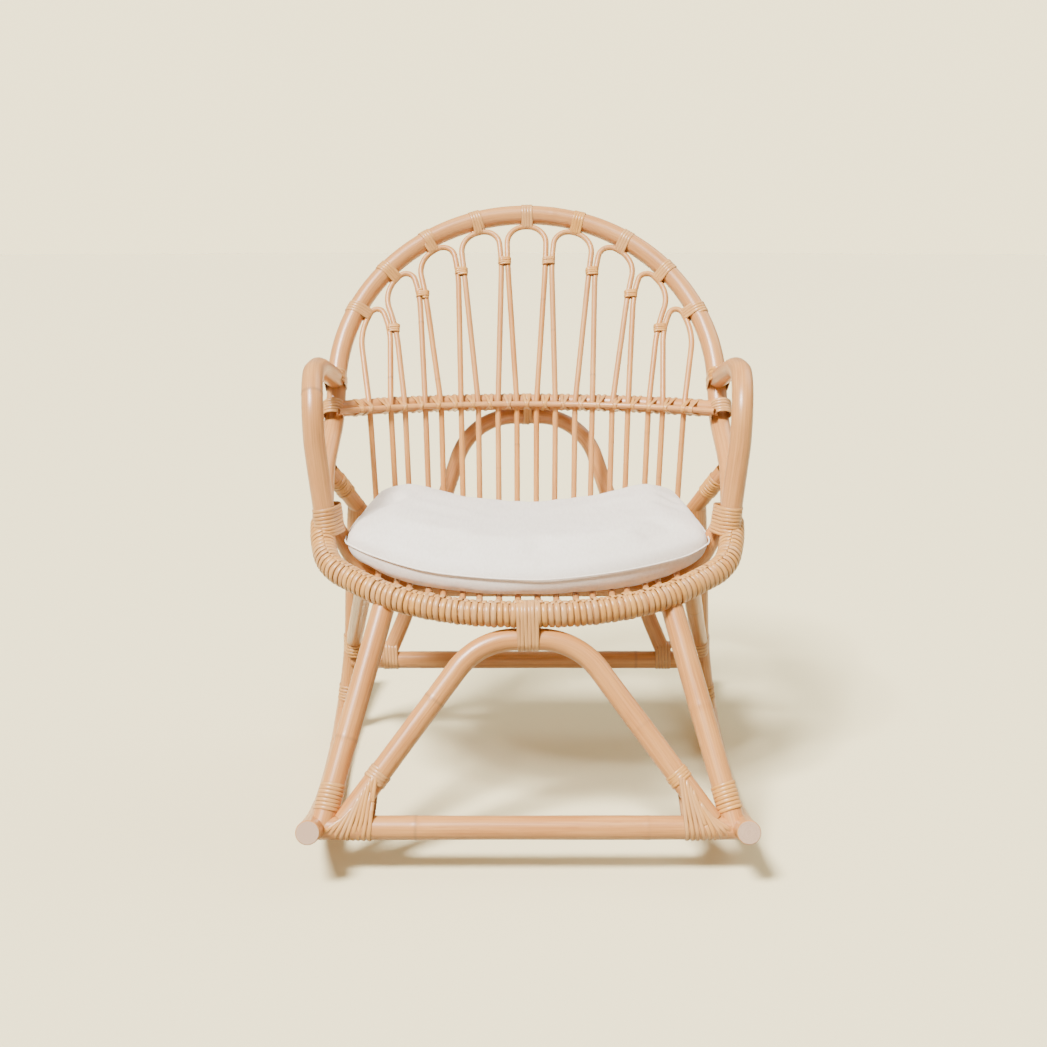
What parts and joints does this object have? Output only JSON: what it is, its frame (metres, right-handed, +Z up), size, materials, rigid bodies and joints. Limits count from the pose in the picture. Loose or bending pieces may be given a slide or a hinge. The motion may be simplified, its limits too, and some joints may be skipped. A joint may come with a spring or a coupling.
{
  "type": "rocking chair",
  "caption": "Small rattan rocking chair: bent pole frame on curved runners, hooped back filled with cane loops, looped arms, peel lashings and a loose seat cushion.",
  "frame": {"origin": "on the floor under the middle of the runners, at the centre of the chair's width", "axes": "+Z up, the chair faces -Y, +X to the right seen from the front"},
  "size_m": [0.466, 0.5864, 0.6128],
  "materials": {
    "pole": "smooth peeled rattan pole, clear satin lacquer",
    "cane": "thin rattan cane, clear satin lacquer",
    "peel": "flat rattan peel strip, satin",
    "cotton": "off-white plain cotton",
    "steel": "plain wire nail"
  },
  "bodies": {
    "frame": {"arch_crown_lashing": "peel", "arch_foot_lashings": "peel", "arch_leg_coils": "peel", "arm_foot_lashings": "peel", "arm_rear_lashings": "peel", "back_hoop": "pole", "brace_lashings": "peel", "cane_loop_1": "cane", "cane_loop_2": "cane", "cane_loop_3": "cane", "cane_loop_4": "cane", "cane_loop_5": "cane", "cane_loop_6": "cane", "cane_loop_7": "cane", "cane_loop_8": "cane", "cane_loop_9": "cane", "front_arch": "pole", "front_foot_lashings": "peel", "front_stretcher": "pole", "joint_nails": "steel", "left_arm": "pole", "left_front_leg": "pole", "left_rear_leg": "pole", "left_runner": "pole", "left_side_brace": "pole", "loop_ties": "peel", "middle_seat_bow": "pole", "pair_ties": "peel", "rear_arch": "pole", "rear_arch_crown_lashing": "peel", "rear_arch_foot_lashings": "peel", "rear_bow_end_lashings": "peel", "rear_foot_lashings": "peel", "rear_seat_bow": "pole", "rear_stretcher": "pole", "right_arm": "pole", "right_front_leg": "pole", "right_rear_leg": "pole", "right_runner": "pole", "right_side_brace": "pole", "seat_front_rail": "pole", "seat_rail_winding": "peel", "waist_end_lashings": "peel", "waist_front_cane": "cane", "waist_rail": "pole", "waist_ties": "peel"},
    "cushion": {"seat_cushion": "cotton"}
  },
  "joints": [
    {"name": "cushion_lift", "type": "slide", "parent": "frame", "child": "cushion", "axis": [0, 0, 1], "range_m": [0, 0.12]}
  ]
}
